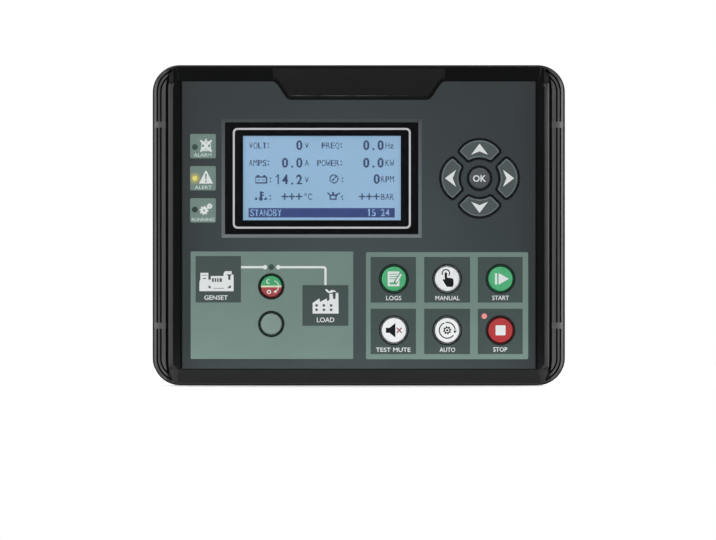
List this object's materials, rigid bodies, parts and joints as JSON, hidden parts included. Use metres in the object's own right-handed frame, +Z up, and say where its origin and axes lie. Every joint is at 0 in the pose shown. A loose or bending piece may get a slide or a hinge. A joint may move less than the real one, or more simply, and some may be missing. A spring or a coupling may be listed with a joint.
{
  "type": "genset controller",
  "caption": "Panel-mounted generating-set controller with a backlit display, arrow pad, function keys, status lamps and rear terminal plugs, clamped in a panel cut-out by jacking clips.",
  "frame": {"origin": "the middle of the panel's front face, on the rear face of the panel seal", "axes": "+X to the right seen from the front, +Y backwards through the panel, +Z up; the keys and the display face -Y"},
  "size_m": [0.197, 0.0494, 0.153],
  "materials": {
    "bezel_black": "fine satin grain",
    "fascia_grey": "matt printed sheet",
    "pane_clear": "clear polished sheet with a black border",
    "seal_rubber": "soft closed-cell rubber",
    "key_grey": "matt silicone",
    "key_dark": "matt silicone",
    "key_green": "matt silicone",
    "key_sage": "matt silicone",
    "key_white": "matt silicone",
    "key_red": "matt silicone",
    "lens_off": "dark translucent lens",
    "lens_yellow": "lit translucent lens",
    "lens_red": "lit translucent lens",
    "display_glass": "lit display glass",
    "sheet_steel": "plain pressed sheet",
    "diffuser_white": "milky diffuser",
    "board_green": "green solder mask",
    "contact_gold": "gold-plated discs",
    "chip_cream": "cream diode bodies",
    "screw_steel": "zinc plated",
    "connector_black": "plain moulding",
    "chip_black": "moulded chip body",
    "relay_black": "plain relay cover",
    "capacitor_sleeve": "dark sleeve",
    "transformer_blue": "potted block",
    "battery_steel": "bare steel can",
    "terminal_green": "green moulding",
    "pin_tin": "tinned pins",
    "socket_metal": "plated shell",
    "housing_black": "fine spark-eroded grain",
    "screw_black": "blackened steel",
    "clip_steel": "zinc-plated pressed steel"
  },
  "bodies": {
    "controller": {"front_bezel": "bezel_black", "fascia": "fascia_grey", "window_pane": "pane_clear", "panel_seal": "seal_rubber", "lamp_alarm": "lens_off", "lamp_warning": "lens_yellow", "lamp_running": "lens_off", "lamp_breaker": "lens_off", "lamp_stop": "lens_red", "lcd_glass": "display_glass", "lcd_frame": "sheet_steel", "lcd_backlight": "diffuser_white", "key_board": "board_green", "key_contacts": "contact_gold", "lamp_chips": "chip_cream", "key_board_screws": "screw_steel", "board_link": "connector_black", "main_board": "board_green", "main_board_screws": "screw_steel", "processor_chips": "chip_black", "relays": "relay_black", "capacitors": "capacitor_sleeve", "current_transformers": "transformer_blue", "clock_battery": "battery_steel", "terminal_headers": "terminal_green", "terminal_pins": "pin_tin", "plug_supply": "terminal_green", "plug_outputs": "terminal_green", "plug_inputs": "terminal_green", "plug_sensors": "terminal_green", "plug_voltage": "terminal_green", "plug_current": "terminal_green", "terminal_screws": "screw_steel", "usb_socket": "socket_metal", "rear_housing": "housing_black", "housing_screws": "screw_black", "fixing_clips": "clip_steel", "clip_screws": "screw_steel"},
    "key_up": {"key_up": "key_grey"},
    "key_down": {"key_down": "key_grey"},
    "key_left": {"key_left": "key_grey"},
    "key_right": {"key_right": "key_grey"},
    "key_ok": {"key_ok": "key_dark"},
    "key_breaker": {"key_breaker": "key_green"},
    "key_blank": {"key_blank": "key_sage"},
    "key_logs": {"key_logs": "key_green"},
    "key_manual": {"key_manual": "key_white"},
    "key_start": {"key_start": "key_green"},
    "key_mute": {"key_mute": "key_white"},
    "key_auto": {"key_auto": "key_white"},
    "key_stop": {"key_stop": "key_red"}
  },
  "joints": [
    {"name": "press_up", "type": "slide", "parent": "controller", "child": "key_up", "axis": [0, 1, 0], "range_m": [0, 0.0011], "stiffness_N_per_m": 1200},
    {"name": "press_down", "type": "slide", "parent": "controller", "child": "key_down", "axis": [0, 1, 0], "range_m": [0, 0.0011], "stiffness_N_per_m": 1200},
    {"name": "press_left", "type": "slide", "parent": "controller", "child": "key_left", "axis": [0, 1, 0], "range_m": [0, 0.0011], "stiffness_N_per_m": 1200},
    {"name": "press_right", "type": "slide", "parent": "controller", "child": "key_right", "axis": [0, 1, 0], "range_m": [0, 0.0011], "stiffness_N_per_m": 1200},
    {"name": "press_ok", "type": "slide", "parent": "controller", "child": "key_ok", "axis": [0, 1, 0], "range_m": [0, 0.0011], "stiffness_N_per_m": 1200},
    {"name": "press_breaker", "type": "slide", "parent": "controller", "child": "key_breaker", "axis": [0, 1, 0], "range_m": [0, 0.0011], "stiffness_N_per_m": 1200},
    {"name": "press_blank", "type": "slide", "parent": "controller", "child": "key_blank", "axis": [0, 1, 0], "range_m": [0, 0.0011], "stiffness_N_per_m": 1200},
    {"name": "press_logs", "type": "slide", "parent": "controller", "child": "key_logs", "axis": [0, 1, 0], "range_m": [0, 0.0011], "stiffness_N_per_m": 1200},
    {"name": "press_manual", "type": "slide", "parent": "controller", "child": "key_manual", "axis": [0, 1, 0], "range_m": [0, 0.0011], "stiffness_N_per_m": 1200},
    {"name": "press_start", "type": "slide", "parent": "controller", "child": "key_start", "axis": [0, 1, 0], "range_m": [0, 0.0011], "stiffness_N_per_m": 1200},
    {"name": "press_mute", "type": "slide", "parent": "controller", "child": "key_mute", "axis": [0, 1, 0], "range_m": [0, 0.0011], "stiffness_N_per_m": 1200},
    {"name": "press_auto", "type": "slide", "parent": "controller", "child": "key_auto", "axis": [0, 1, 0], "range_m": [0, 0.0011], "stiffness_N_per_m": 1200},
    {"name": "press_stop", "type": "slide", "parent": "controller", "child": "key_stop", "axis": [0, 1, 0], "range_m": [0, 0.0011], "stiffness_N_per_m": 1200}
  ]
}
